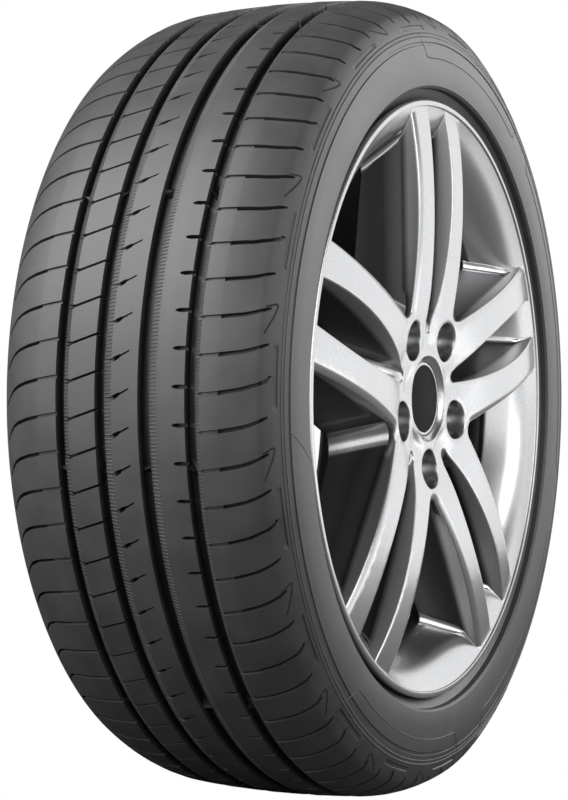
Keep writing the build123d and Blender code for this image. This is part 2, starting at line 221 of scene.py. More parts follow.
# Rows of points on the ribs: distance from the tread's middle, half width of the cut there, depth of the cut
INNER_ROWS = (100.5, 98.4, 98.0, 95.3, 93.2, 91.0, 86.0, 78.0, 68.4, 68.0, 58.0, 51.0)
INNER_SLOT = (68.2, 98.2)
INNER_HALF = 0.038
SIPE_ROWS = ((40.5, 0.055), (38.6, 0.026), (30.0, 0.024), (18.7, 0.024))
DART_ROWS = (
    (5.9, 0.03, DART_STEP), (4.4, 0.05, DART_STEP), (4.0, 0.055, SIPE_DEPTH), (-0.4, 0.045, SIPE_DEPTH),
    (-1.2, 0.018, SIPE_DEPTH), (-8.0, 0.011, SIPE_DEPTH), (-8.4, 0.01, 0.0), (-15.4, 0.01, 0.0),
)
NOTCH_ROWS = (
    (29.5, 0.012, 0.0), (41.6, 0.012, 0.0), (42.0, 0.014, SIPE_DEPTH), (43.6, 0.036, SIPE_DEPTH),
    (46.0, 0.046, SIPE_DEPTH), (51.0, 0.042, SIPE_DEPTH),
)
OUTER_ROWS = (61.8, 68.0, 74.4, 74.8, 83.0, 89.3, 95.2, 98.0, SHOULDER_HALF_WIDTH)
OUTER_SLOT_START = 74.6
OUTER_NARROW_START = 97.0
OUTER_HALF = 0.046
OUTER_NARROW_HALF = 0.04

# Rows of points on the sidewalls: radius, then the depth there. Hook rows give the radius, the half width,
# and the depths of a plain and a hooked slot.
INNER_SIDE_ROWS = (266.5, 276.0, 284.0, 291.0)
INNER_SIDE_PLACE = 0.85
INNER_SIDE_TOP = 297.0
HOOK_ROWS = (
    (299.0, 0.036, SLOT_DEPTH, 3.0), (296.9, 0.022, 2.5, 2.0), (296.4, 0.02, 0.0, 1.4),
    (293.2, 0.02, 0.0, 1.0),
)
HOOK_HALF = 0.05
LINE_ROWS = ((292.7, 0.0), (292.2, LINE_DEPTH), (289.6, LINE_DEPTH), (289.1, 0.0))
RING_ROWS = (
    (286.9, 0.0), (286.3, -0.5), (285.7, 0.0), (284.0, 0.0), (283.4, -0.4), (282.8, 0.0), (279.6, 0.0),
    (279.2, 0.8), (277.2, 0.8), (276.8, 0.0), (271.0, 0.0),
)


def along(path, distance):
    """Value at a distance, from a path of (distance, value) points."""
    return float(np.interp(distance, *zip(*path)))


def hooked(plain, hook):
    """Values of the columns for all pitches, with those of the hooked slot on one pitch in four."""
    table = np.tile(plain, (PITCHES, 1))
    table[HOOK_TYPE::PATTERN_REPEAT] = hook
    return table


def inner_depth(across):
    """Depth of the inboard shoulder's slots, which start with a tie bar and end before the corner."""
    start, end = INNER_SLOT
    if across > end:
        return 0.0
    return SLOT_DEPTH if across > start else TIE_BAR_DEPTH


def tyre_skin():
    """The tyre's skin, row by row from the inside over the inboard bead, the tread and the outboard bead."""
    skin = Skin()

    def plain_rows(section, side, columns):
        for across, radius in section:
            skin.add_row(((side * across, radius), (0.0, 1.0)), even(0.0, columns))

    # Inboard half of the inside, bead and sidewall
    plain_rows(INSIDE, -1, BEAD_COLUMNS)
    plain_rows(LOWER_SIDE, -1, SIDE_COLUMNS)
    for radius in INNER_SIDE_ROWS:
        skin.add_row(on_side(radius, -1), even(INNER_SIDE_PLACE, SIDE_COLUMNS))
    skin.add_row(on_side(INNER_SIDE_TOP, -1), even(1.0))

    # Inboard shoulder, ribs with sipes, darts and notches, and a groove with wear bars after each
    inner = [
        (-across, spread(along(INNER_PATH, across), INNER_HALF), inner_depth(across))
        for across in INNER_ROWS
    ]
    sipes = [(-across, spread(along(SIPE_PATH, across), half), SIPE_DEPTH) for across, half in SIPE_ROWS]
    darts = [(-across, spread(along(DART_PATH, across), half), depth) for across, half, depth in DART_ROWS]
    notches = [(across, spread(NOTCH_PLACE, half), depth) for across, half, depth in NOTCH_ROWS]
    ribs = (inner, sipes, darts, notches)
    next_columns = [rib[0][1] for rib in ribs[1:]]
    next_columns.append(spread(along(OUTER_PATH, OUTER_ROWS[0]), OUTER_NARROW_HALF))
    for rib, (edge, floor, _), after in zip(ribs, GROOVES, next_columns):
        for across, columns, depth in rib:
            skin.add_row(on_tread(across), columns, slot_cut(depth))
        before = rib[-1][1]
        foot = edge + floor
        skin.add_row(on_tread(edge + WALL_LEAN), before, wear_cut(before))
        skin.add_row(on_tread(foot - WALL_LEAN), after, wear_cut(after))
        skin.add_row(on_tread(foot), after, CHAMFER_DEPTH)

    # Outboard shoulder, whose slots hook round on one pitch in four
    for across in OUTER_ROWS:
        half = OUTER_HALF if across < OUTER_NARROW_START else OUTER_NARROW_HALF
        depth = TIE_BAR_DEPTH if across < OUTER_SLOT_START else SLOT_DEPTH
        plain = spread(along(OUTER_PATH, across), half)
        hook = spread(along(HOOK_PATH, across), half)
        skin.add_row(on_tread(across), hooked(plain, hook), slot_cut(depth))
    for radius, half, plain_depth, hook_depth in HOOK_ROWS:
        across = side_width(radius)
        plain = spread(along(OUTER_PATH, across), half)
        hook = spread(along(HOOK_PATH, across), HOOK_HALF)
        depth = hooked(slot_cut(plain_depth), slot_cut(hook_depth))
        skin.add_row(on_side(radius, 1), hooked(plain, hook), depth)

    # Outboard sidewall: the line that the hooks run into, thin moulded rings, the bead and the inside
    slot_end = OUTER_PATH[-1][1]
    columns = hooked(even(slot_end), even(HOOK_PATH[-1][1] + HOOK_SHIFT))
    places = (np.arange(PITCHES)[:, None] + columns) % PATTERN_REPEAT
    in_line = (places > HOOK_LINE[0]) & (places < HOOK_LINE[1])
    for radius, depth in LINE_ROWS:
        skin.add_row(on_side(radius, 1), columns, np.where(in_line, depth, 0.0))
    for radius, depth in RING_ROWS:
        skin.add_row(on_side(radius, 1), even(slot_end, SIDE_COLUMNS), depth)
    skin.add_row(on_side(SIDE_CENTRE_RADIUS, 1), even(0.0, SIDE_COLUMNS))
    plain_rows(LOWER_SIDE[::-1], 1, SIDE_COLUMNS)
    plain_rows(INSIDE[::-1], 1, BEAD_COLUMNS)
    return skin.close()


# Fine lines on the tyre: ribs across the grooves' chamfers, marks at the ends of the hooked slots, and the
# edges of the plain panels on the sidewall. The marks are raised strips in near-black rubber, painted shade
# that stands for engraved lines. A size is a line's width and height. Marks are (radius, place) points, and
# panels are (radius, turn) points, with turns in degrees from +X towards +Z.
CHAMFER_RIBS = 10
CHAMFER_RIB_SIZE = (1.2, 0.32)
MARK_PATH = ((300.2, 39.43), (293.4, 39.30), (291.9, 39.34), (293.8, 39.61), (300.1, 40.17))
MARK_SIZE = (1.5, 0.2)
PANEL_SIZE = (0.9, 0.35)
PANEL_EDGES = (
    ((286.0, 100.0), (268.5, 98.5), (267.0, 97.5), (267.0, 57.0), (268.5, 56.0), (286.0, 55.0)),
    ((277.9, 184.3), (261.5, 186.9), (247.7, 190.0)),
    ((286.0, 49.0), (270.0, 47.5), (268.5, 46.5), (268.5, -12.0), (270.0, -13.0), (286.0, -16.0)),
    ((286.0, -24.0), (270.0, -26.0), (268.5, -27.0), (268.5, -72.0), (270.0, -73.0), (286.0, -74.5)),
    ((286.0, -84.0), (268.5, -86.0), (267.0, -87.0), (267.0, -128.0), (268.5, -129.0), (286.0, -131.0)),
)
PANEL_STEP = 1.5


class Ribs:
    """Fine raised lines of three-cornered section, each along a path of places and normals."""

    def __init__(self):
        self.points = []
        self.faces = []

    def add(self, path, width, height):
        """Adds one line along a path of (place, normal) pairs, closed at both ends."""
        start = len(self.points)
        last = start + 3 * (len(path) - 1)
        for index, (place, normal) in enumerate(path):
            before = path[max(index - 1, 0)][0]
            after = path[min(index + 1, len(path) - 1)][0]
            side = (after - before).cross(normal).normalized() * (width / 2)
            self.points += [place - side, place + normal * height, place + side]
        for here in range(start, last, 3):
            for corner in range(3):
                other = (corner + 1) % 3
                self.faces.append((here + other, here + 3 + other, here + 3 + corner, here + corner))
        self.faces.append((start + 2, start + 1, start))
        self.faces.append((last, last + 1, last + 2))

    def mesh(self):
        """Points and faces of all lines."""
        return np.array([point[:] for point in self.points]), self.faces


def turned_place(place, normal, turn):
    """Point and normal in space from (across, radius) pairs and a turn in degrees."""
    cosine = math.cos(math.radians(turn))
    sine = math.sin(math.radians(turn))
    return (
        Vector((place[1] * cosine, -place[0], place[1] * sine)),
        Vector((normal[1] * cosine, -normal[0], normal[1] * sine)),
    )


def outboard_place(radius, turn):
    """Point and normal on the outboard sidewall."""
    if radius >= SIDE_CENTRE_RADIUS:
        return turned_place(*on_side(radius, 1), turn)
    section = LOWER_SIDE + ((SIDE_HALF_WIDTH, SIDE_CENTRE_RADIUS),)
    across = along([point[::-1] for point in section], radius)
    return turned_place((across, radius), (1.0, 0.0), turn)


def chamfer_ribs():
    """Fine ribs across the chamfer of every groove."""
    ribs = Ribs()
    count = PITCHES * CHAMFER_RIBS
    for edge, floor, chamfer in GROOVES:
        foot = edge + floor
        top = foot + chamfer
        low = (foot, crown_radius(foot) - CHAMFER_DEPTH)
        high = (top, crown_radius(top))
        length = math.dist(low, high)
        normal = ((low[1] - high[1]) / length, (high[0] - low[0]) / length)
        for index in range(count):
            turn = index * 360.0 / count
            ribs.add([turned_place(low, normal, turn), turned_place(high, normal, turn)], *CHAMFER_RIB_SIZE)
    return ribs.mesh()


def side_lines(paths, size):
    """Lines on the outboard sidewall through (radius, turn) corners, in short steps."""
    ribs = Ribs()
    for corners in paths:
        places = []
        for (radius, turn), (next_radius, next_turn) in zip(corners, corners[1:]):
            steps = max(2, int(abs(next_turn - turn) / PANEL_STEP))
            for share in np.arange(steps) / steps:
                places.append((radius + (next_radius - radius) * share, turn + (next_turn - turn) * share))
        places.append(corners[-1])
        ribs.add([outboard_place(radius, turn) for radius, turn in places], *size)
    return ribs.mesh()


def hook_marks():
    """One mark at the end of each hooked slot."""
    paths = []
    for pitch in range(0, PITCHES, PATTERN_REPEAT):
        paths.append([(radius, (place + pitch) * PITCH_ANGLE) for radius, place in MARK_PATH])
    return side_lines(paths, MARK_SIZE)


# Alloy wheel, drawn around Z with the outboard side towards +Z, and turned when its mesh is made
FLANGE_RADIUS = 235.6
FLANGE_FACE = 95.25
FLANGE_ROUND = 9.6
LIP_FACE = 106.75
LIP_INNER = 230.8
LIP_STEP = 1.6
LIP_ROUND = 1.9
LIP_EDGE_ROUND = 0.6
DISH_TOP_RADIUS = 212.5
DISH_TOP_ROUND = 45.0
DISH_FOOT = 64.55
DISH_FOOT_ROUND = 30.0
BARREL_RADIUS = 192.5
BARREL_WALL = 5.8
BARREL_END_ROUND = 6.0
BEAD_SEAT_RADIUS = 218.3
HEEL_ROUND = 6.5
SEAT_END = 75.25
SEAT_END_RADIUS = 216.55
SEAT_END_ROUND = 1.5
WELL_RADIUS = 198.3
WELL_FRONT = 62.25
WELL_FRONT_ROUND = 5.0
WELL_BACK = 34.25
WELL_BACK_ROUND = 8.0
LEDGE_RADIUS = 209.3
LEDGE_HEIGHT = 8.25
LEDGE_ROUND = 12.0
# Inside of the rim from the barrel up the dish to the lip: height, then radius
RIM_INSIDE = ((DISH_FOOT, BARREL_RADIUS), (FLANGE_FACE, DISH_TOP_RADIUS), (LIP_FACE - LIP_STEP, LIP_INNER))

# Spokes and hub
PAIRS = 5
PAIR_STEP = 360.0 / PAIRS
FIRST_PAIR = 90.0
PAIR_ROOT_WIDTH = 80.4
PAIR_END_WIDTH = 93.0
HUB_PAD_RADIUS = 74.0
HUB_PAD_HEIGHT = 45.0
BACK_STEP = 10.0
BACK_END = (195.4, 65.35)
BACK_PATH = (
    (HUB_PAD_RADIUS, HUB_PAD_HEIGHT), (HUB_PAD_RADIUS + BACK_STEP, HUB_PAD_HEIGHT + BACK_STEP), BACK_END,
)
WINDOW_ROUND = 12.0
GAP_HALF_WIDTH = 18.75
GAP_WIDEST = 185.0
GAP_SIDE_RADIUS = 600.0
GAP_TIP_LENGTH = 5.0
CREASE_HEIGHT = 94.95
DRAFT_FROM = 103.35
FRONT_DRAFT = math.tan(math.radians(5))
WINDOW_DRAFT = math.tan(math.radians(24))
GAP_DRAFT = math.tan(math.radians(13))
SPOKE_ANCHOR = 2.6
FACE_WALL_RADIUS = 228.6
HUB_EDGE = (60.0, 98.65)
HUB_RIM = (33.8, 97.55)
FACE_CROWN = (150.0, 110.35)
FACE_END = (233.7, 103.35)
BOLT_CIRCLE = 56.0
# How the front edges of a spoke run from its face to its walls: the distance into the metal, then the drop
WINDOW_EDGE = ((2.5, 0.0), (2.2, 0.08), (-2.0, 1.75), (-2.45, 2.2), (-2.6, 3.2))
GAP_EDGE = ((1.3, 0.0), (0.8, 0.1), (0.38, 0.38), (0.1, 0.8), (0.0, 1.3))
GAP_TIP_HALF = 3.5
FRONT_FILLET = 1.5
# Levels of the walls below those edges: height, half width of the gap's tip, fillet to the rim
WALL_LEVELS = (
    (CREASE_HEIGHT, 4.0, 2.5), (91.5, 4.5, 3.5), (86.0, 4.8, 4.5), (80.0, 5.0, 5.0), (74.0, 5.0, 5.0),
    (69.0, 5.0, 5.0),
)
BACK_TIP_HALF = 5.0
BACK_FILLET = 5.0
# Where a gap runs out towards the cap, the hub dips: distance along the pair's middle line, then the dip
RUN_OUT = ((34.0, 0.0), (40.0, 3.4), (46.0, 3.0), (52.0, 1.8), (62.0, 1.5), (85.0, 0.0))
RUN_OUT_HALF_WIDTH = 22.0
# Holes in the hub from the front to the back: radius, then height
HUB_STEPS = (
    (29.8, 93.55), (29.8, 84.55), (27.25, 84.55), (27.25, 80.0), (29.45, 80.0), (29.45, 70.0), (28.55, 70.0),
    (28.55, HUB_PAD_HEIGHT),
)
POCKET_STEPS = (
    (15.5, 94.5), (15.2, 91.8), (14.7, 89.2), (13.8, 86.5), (12.5, 83.55), (12.5, 68.0), (7.5, 63.0),
    (7.5, HUB_PAD_HEIGHT),
)
MOUTH_ROUND = 1.2

# How finely the wheel is drawn: points on its outlines, and the spacing of points on its faces
ROUND_POINTS = 8
SIDE_POINTS = 24
CORNER_POINTS = 7
ANCHOR_POINTS = 6
GAP_POINTS = 30
MOUTH_SHARES = (0.0, 0.5, 1.0)
FRONT_SPACING = 4.0
BACK_SPACING = 5.0
EDGE_CLEARANCE = 0.5
CAP_SEGMENTS = 96
BOLT_SEGMENTS = 48
RIM_SEGMENTS = 240
CORNER_SEARCH = (0.6, 1.02)
SEARCH_STEPS = 40
APEX_STEPS = 6
HOLE_MARGIN = 0.999
SAME_POINT = 1e-5


def circle_through(first, second, third):
    """Centre and radius of the circle through three points."""
    rows = np.array([np.subtract(second, first), np.subtract(third, first)]) * 2
    sums = np.array([np.dot(point, point) - np.dot(first, first) for point in (second, third)])
    centre = np.linalg.solve(rows, sums)
    return centre, math.dist(centre, first)


FACE_CENTRE, FACE_RADIUS = circle_through(FACE_END, FACE_CROWN, HUB_EDGE)


def face_height(radius):
    """Height of the spokes' crowned front, and of the flatter hub inside it."""
    if radius < HUB_EDGE[0]:
        return along((HUB_RIM, HUB_EDGE), radius)
    return FACE_CENTRE[1] + math.sqrt(FACE_RADIUS ** 2 - (radius - FACE_CENTRE[0]) ** 2)


def face_place(x, y):
    """Height of the front at a place, with the dips where the gaps run out."""
    radius = math.hypot(x, y)
    turn = math.degrees(math.atan2(y, x)) - FIRST_PAIR
    turn = math.radians((turn + PAIR_STEP / 2) % PAIR_STEP - PAIR_STEP / 2)
    share = max(0.0, 1 - abs(radius * math.sin(turn)) / RUN_OUT_HALF_WIDTH)
    dip = along(RUN_OUT, radius * math.cos(turn))
    return face_height(radius) - dip * share * share * (3 - 2 * share)


def back_height(radius):
    """Height of the back of the hub and spokes."""
    return along(BACK_PATH, radius)


def back_place(x, y):
    """Height of the back at a place."""
    return back_height(math.hypot(x, y))


def wall_inset(height, draft):
    """How far a spoke's side has leaned into its opening at a height."""
    if height >= CREASE_HEIGHT:
        return (DRAFT_FROM - height) * FRONT_DRAFT
    return (DRAFT_FROM - CREASE_HEIGHT) * FRONT_DRAFT + (CREASE_HEIGHT - height) * draft


def bisect(test, low, high):
    """Place between low and high where a rising test turns from negative to positive."""
    for _ in range(SEARCH_STEPS):
        middle = (low + high) / 2
        if test(middle) < 0:
            low = middle
        else:
            high = middle
    return low


def turned_points(centre, first, sweep, count):
    """Points on a circle from a first radius vector through a sweep in radians, both ends included."""
    turns = [Matrix.Rotation(sweep * index / (count - 1), 2) for index in range(count)]
    return [Vector(centre) + turn @ Vector(first) for turn in turns]


def sweep_between(first, last):
    """Angle in radians from one flat vector to another."""
    return math.atan2(first.x * last.y - first.y * last.x, first.dot(last))


def corner_to_wall(side, normal, wall, fillet):
    """Fillet from a spoke's side to the rim's wall; returns the place it leaves the side and its points."""
    def test(place):
        return (side(place) + normal(place) * fillet).length - (wall - fillet)
    place = bisect(test, wall * CORNER_SEARCH[0], wall * CORNER_SEARCH[1])
    centre = side(place) + normal(place) * fillet
    first = -normal(place) * fillet
    return place, turned_points(centre, first, sweep_between(first, centre.normalized()), CORNER_POINTS)


def half_pair(level, surface, window_edge, gap_edge, tip_half, wall, fillet):
    """Half of the outline of one pair of spokes, from the middle of the window beside it to the middle of its
    gap, as points with heights. level gives the height at a radius for the walls' lean, surface the height
    at a place, and an edge the shift into the metal and the drop."""
    rise = (PAIR_END_WIDTH - PAIR_ROOT_WIDTH) / 2 / (LIP_INNER - HUB_PAD_RADIUS)
    outward = Vector((1.0, -rise)).normalized()
    half_step = math.radians(PAIR_STEP / 2)
    middle = Vector((math.sin(half_step), math.cos(half_step)))
    root = Vector((PAIR_ROOT_WIDTH / 2, HUB_PAD_RADIUS))
    window_shift, window_drop = window_edge
    gap_shift, gap_drop = gap_edge

    # Side towards the window, from the window's round end near the hub out to the rim's wall
    def outer(place):
        plain = PAIR_ROOT_WIDTH / 2 + rise * (place - HUB_PAD_RADIUS)
        inset = wall_inset(level(math.hypot(plain, place)) - window_drop, WINDOW_DRAFT)
        return Vector((plain + inset - window_shift, place))

    apex = HUB_PAD_RADIUS
    for _ in range(APEX_STEPS):
        inset = wall_inset(level(apex) - window_drop, WINDOW_DRAFT)
        centre = (WINDOW_ROUND + root.dot(outward) + inset * outward.x) / middle.dot(outward)
        apex = centre - WINDOW_ROUND
    first = -middle * (WINDOW_ROUND + window_shift)
    points = turned_points(middle * centre, first, sweep_between(first, -outward), ROUND_POINTS)
    start = points[-1]
    mismatch = start.x - outer(start.y).x
    end, corner = corner_to_wall(outer, lambda place: outward, wall, fillet)
    for share in np.linspace(0, 1, SIDE_POINTS)[1:-1]:
        place = start.y + (end - start.y) * share
        points.append(outer(place) + Vector((mismatch * (1 - share) ** 2, 0)))
    points += corner
    drops = [window_drop] * len(points)

    # End inside the rim, and the side towards the gap back to the gap's round tip
    def inner(place):
        x = GAP_HALF_WIDTH - (place - GAP_WIDEST) ** 2 / (2 * GAP_SIDE_RADIUS)
        inset = wall_inset(level(math.hypot(x, place)) - gap_drop, GAP_DRAFT)
        return Vector((x - inset + gap_shift, place))

    def inner_normal(place):
        return Vector((-1.0, -(place - GAP_WIDEST) / GAP_SIDE_RADIUS)).normalized()

    gap_end, gap_corner = corner_to_wall(inner, inner_normal, wall, fillet)
    first_turn = math.atan2(points[-1].x, points[-1].y)
    last_turn = math.atan2(gap_corner[-1].x, gap_corner[-1].y)
    for turn in np.linspace(first_turn, last_turn, ANCHOR_POINTS):
        points.append(Vector((math.sin(turn), math.cos(turn))) * (wall + SPOKE_ANCHOR))
    points += gap_corner[::-1]
    tip = bisect(lambda place: inner(place).x - gap_shift - tip_half, HUB_RIM[0], GAP_WIDEST) - gap_shift
    tip_start = tip + GAP_TIP_LENGTH
    for place in np.linspace(gap_end, tip_start, GAP_POINTS)[1:-1]:
        points.append(inner(place))
    side = inner(tip_start).x
    for turn in np.linspace(0, math.pi / 2, ROUND_POINTS):
        points.append(Vector((side * math.cos(turn), tip_start - GAP_TIP_LENGTH * math.sin(turn))))
    drops += [gap_drop] * (len(points) - len(drops))
    return [(point, surface(point.x, point.y) - drop) for point, drop in zip(points, drops)]


def spoke_outline(level, surface, window_edge, gap_edge, tip_half, wall, fillet):
    """Outline of all the spokes, counter-clockwise, as points with their heights."""
    half = half_pair(level, surface, window_edge, gap_edge, tip_half, wall, fillet)
    mirrored = [(Vector((-point.x, point.y)), height) for point, height in half[-2:0:-1]]
    outline = []
    for pair in range(PAIRS):
        turn = Matrix.Rotation(math.radians(FIRST_PAIR - 90 + pair * PAIR_STEP), 2)
        outline += [(*(turn @ point), height) for point, height in half + mirrored]
    return outline


def ring(centre, radius, count, height):
    """Circle of points around a centre, counter-clockwise, with heights from a function of the place."""
    turns = np.arange(count) * 2 * math.pi / count
    places = [(centre[0] + radius * math.cos(turn), centre[1] + radius * math.sin(turn)) for turn in turns]
    return [(x, y, height(x, y)) for x, y in places]


def rounded(corners, steps=4):
    """Closed outline through (radius, height, rounding) corners."""
    outline = []
    for index, (radius, height, rounding) in enumerate(corners):
        here = Vector((radius, height))
        before = (Vector(corners[index - 1][:2]) - here).normalized()
        after = (Vector(corners[(index + 1) % len(corners)][:2]) - here).normalized()
        half = before.angle(after) / 2
        reach = rounding / math.tan(half)
        centre = here + (before + after).normalized() * (rounding / math.sin(half))
        first = here + before * reach - centre
        last = here + after * reach - centre
        outline += turned_points(centre, first, sweep_between(first, last), steps + 1)
    return outline


class Shell:
    """Points and faces of the wheel, added loop by loop."""

    def __init__(self):
        self.points = []
        self.faces = []

    def loop(self, points):
        """Adds points and returns their numbers."""
        start = len(self.points)
        self.points += points
        return list(range(start, len(self.points)))

    def wall(self, lower, upper):
        """Faces between two closed loops; they look to the right of the way the loops run."""
        count = len(lower)
        for index in range(count):
            after = (index + 1) % count
            self.faces.append((lower[index], lower[after], upper[after], upper[index]))

    def cover(self, outline, holes, height, spacing, upward):
        """Face inside an outline and around (loop, centre, radius) holes, on a surface of given height."""
        edge = np.array([self.points[number][:2] for number in outline])
        loops = [outline] + [loop for loop, _, _ in holes]
        numbers = [number for loop in loops for number in loop]
        edges = []
        start = 0
        for loop in loops:
            count = len(loop)
            edges += [(start + index, start + (index + 1) % count) for index in range(count)]
            start += count

        def free(places, scale, clearance):
            """Whether places lie inside the outline and outside the scaled holes."""
            keep = inside(places, edge)
            for _, centre, radius in holes:
                distance = np.hypot(places[:, 0] - centre[0], places[:, 1] - centre[1])
                keep &= distance > radius * scale + clearance
            return keep

        rings = []
        for radius in np.arange(HUB_RIM[0], LIP_INNER, spacing):
            count = int(2 * math.pi * radius / spacing / PAIRS) * PAIRS
            turns = (np.arange(count) + 0.5) * 2 * math.pi / count
            rings.append(np.stack([radius * np.cos(turns), radius * np.sin(turns)], axis=1))
        field = np.concatenate(rings)
        clearance = spacing * EDGE_CLEARANCE
        field = field[free(field, 1.0, clearance) & (nearest(field, edge) > clearance)]
        numbers += self.loop([(x, y, height(x, y)) for x, y in field])
        flat = [Vector(self.points[number][:2]) for number in numbers]
        _, _, triangles, origins, _, _ = delaunay_2d_cdt(flat, edges, [], 0, SAME_POINT, True)
        corners = np.array([[origins[corner][0] for corner in triangle] for triangle in triangles])
        middles = np.array([place[:] for place in flat])[corners].mean(axis=1)
        for triangle in corners[free(middles, HOLE_MARGIN, 0.0)]:
            face = [numbers[corner] for corner in triangle]
            self.faces.append(face if upward else face[::-1])


def inside(points, outline):
    """Whether each point lies inside a closed outline."""
    result = np.zeros(len(points), bool)
    for (x1, y1), (x2, y2) in zip(outline, np.roll(outline, -1, axis=0)):
        crosses = (y1 > points[:, 1]) != (y2 > points[:, 1])
        if y1 != y2:
            at = x1 + (points[:, 1] - y1) * (x2 - x1) / (y2 - y1)
            result ^= crosses & (points[:, 0] < at)
    return result


def nearest(points, outline):
    """Distance from each point to the nearest point of an outline."""
    best = np.full(len(points), np.inf)
    for corner in outline:
        best = np.minimum(best, np.hypot(points[:, 0] - corner[0], points[:, 1] - corner[1]))
    return best


def wheel_shell():
    """The wheel's spokes, hub and rim as one mesh."""
    shell = Shell()

    # Spokes and hub: the front's edges, the walls down past the crease, and the back
    outlines = []
    for window_edge, gap_edge in zip(WINDOW_EDGE, GAP_EDGE):
        outlines.append(spoke_outline(
            face_height, face_place, window_edge, gap_edge, GAP_TIP_HALF, FACE_WALL_RADIUS, FRONT_FILLET
        ))
    plain = (0.0, 0.0)
    for height, tip_half, fillet in WALL_LEVELS:
        wall = along(RIM_INSIDE, height)
        outlines.append(spoke_outline(
            lambda radius: height, lambda x, y: height, plain, plain, tip_half, wall, fillet
        ))
    outlines.append(spoke_outline(
        back_height, back_place, plain, plain, BACK_TIP_HALF, along(RIM_INSIDE, BACK_END[1]), BACK_FILLET
    ))
    loops = [shell.loop(outline) for outline in outlines]
    for upper, lower in zip(loops, loops[1:]):
        shell.wall(lower, upper)

    # Holes through the hub: the cap's pocket with the bore behind it, and the stepped bolt holes
    def hole(centre, count, steps, mouth):
        """Adds a hole's walls and returns its front and back as (loop, centre, radius)."""
        chain = []
        for share in MOUTH_SHARES:
            turn = share * math.pi / 2
            radius = mouth + MOUTH_ROUND * (1 - math.sin(turn))
            drop = MOUTH_ROUND * (1 - math.cos(turn))
            chain.append(shell.loop(ring(centre, radius, count, lambda x, y: face_place(x, y) - drop)))
        for radius, level in steps:
            chain.append(shell.loop(ring(centre, radius, count, lambda x, y: level)))
        for upper, lower in zip(chain, chain[1:]):
            shell.wall(upper, lower)
        return (chain[0], centre, mouth + MOUTH_ROUND), (chain[-1], centre, steps[-1][0])

    ends = [hole((0.0, 0.0), CAP_SEGMENTS, HUB_STEPS, HUB_RIM[0])]
    for pair in range(PAIRS):
        turn = math.radians(FIRST_PAIR - PAIR_STEP / 2 + pair * PAIR_STEP)
        centre = (BOLT_CIRCLE * math.cos(turn), BOLT_CIRCLE * math.sin(turn))
        ends.append(hole(centre, BOLT_SEGMENTS, POCKET_STEPS, POCKET_STEPS[0][0]))
    shell.cover(loops[0], [front for front, _ in ends], face_place, FRONT_SPACING, True)
    shell.cover(loops[-1], [back for _, back in ends], back_place, BACK_SPACING, False)

    # Rim: the flanges and bead seats mirror each other, with the well between them, then the hub's side
    flange = [
        (FLANGE_RADIUS, LIP_FACE, LIP_ROUND), (FLANGE_RADIUS, FLANGE_FACE, FLANGE_ROUND),
        (BEAD_SEAT_RADIUS, FLANGE_FACE, HEEL_ROUND), (SEAT_END_RADIUS, SEAT_END, SEAT_END_ROUND),
    ]
    well = [
        (WELL_RADIUS, WELL_FRONT, WELL_FRONT_ROUND), (WELL_RADIUS, WELL_BACK, WELL_BACK_ROUND),
        (LEDGE_RADIUS, LEDGE_HEIGHT, LEDGE_ROUND),
    ]
    inboard_flange = [(radius, -height, rounding) for radius, height, rounding in flange[::-1]]
    hub_side = [
        (LIP_INNER, -LIP_FACE, LIP_ROUND), (DISH_TOP_RADIUS, -FLANGE_FACE, BARREL_END_ROUND),
        (LEDGE_RADIUS - BARREL_WALL, LEDGE_HEIGHT, LEDGE_ROUND), (BARREL_RADIUS, WELL_BACK, WELL_BACK_ROUND),
        (BARREL_RADIUS, DISH_FOOT, DISH_FOOT_ROUND), (DISH_TOP_RADIUS, FLANGE_FACE, DISH_TOP_ROUND),
        (LIP_INNER, LIP_FACE - LIP_STEP, LIP_EDGE_ROUND), (LIP_INNER, LIP_FACE, LIP_EDGE_ROUND),
    ]
    section = rounded(flange + well + inboard_flange + hub_side)
    rim = [shell.loop(ring((0.0, 0.0), point.x, RIM_SEGMENTS, lambda x, y: point.y)) for point in section]
    for upper, lower in zip(rim, rim[1:] + rim[:1]):
        shell.wall(lower, upper)
    drawn = np.array(shell.points)
    return np.stack([drawn[:, 0], -drawn[:, 2], drawn[:, 1]], axis=1), shell.faces


def mesh_piece(name, points, faces):
    """New mesh object from points in millimetres."""
    mesh = bpy.data.meshes.new(name)
    mesh.from_pydata([tuple(point) for point in points * MILLIMETRE], [], faces)
    mesh.validate()
    piece = bpy.data.objects.new(name, mesh)
    bpy.context.scene.collection.objects.link(piece)
    return piece


# Plain finishes: two colours, metallic share, span of roughness, scale of the specks, lacquer
PLAIN_FINISHES = {
    "tyre_rubber": ((0.040, 0.040, 0.042), (0.052, 0.052, 0.054), 0.0, (0.46, 0.56), 40.0, 0.0),
    # Near-black painted shade of engraved lines, for the raised hook marks
    "tyre_line_shade": ((0.004, 0.004, 0.004), (0.008, 0.008, 0.008), 0.0, (0.7, 0.8), 40.0, 0.0),
    "cap_silver": ((0.70, 0.71, 0.72), (0.78, 0.785, 0.79), 0.75, (0.25, 0.3), 200.0, 0.4),
    "cap_dark": ((0.008, 0.008, 0.009), (0.012, 0.012, 0.013), 0.0, (0.42, 0.5), 90.0, 0.0),
    "spring_steel": ((0.50, 0.51, 0.53), (0.60, 0.61, 0.63), 1.0, (0.25, 0.35), 300.0, 0.0),
    "valve_rubber": ((0.018, 0.018, 0.018), (0.028, 0.028, 0.028), 0.0, (0.55, 0.65), 120.0, 0.0),
    "valve_brass": ((0.55, 0.40, 0.18), (0.68, 0.52, 0.27), 1.0, (0.28, 0.36), 250.0, 0.0),
    "valve_cap_plastic": ((0.02, 0.02, 0.02), (0.03, 0.03, 0.03), 0.0, (0.4, 0.5), 150.0, 0.0),
}
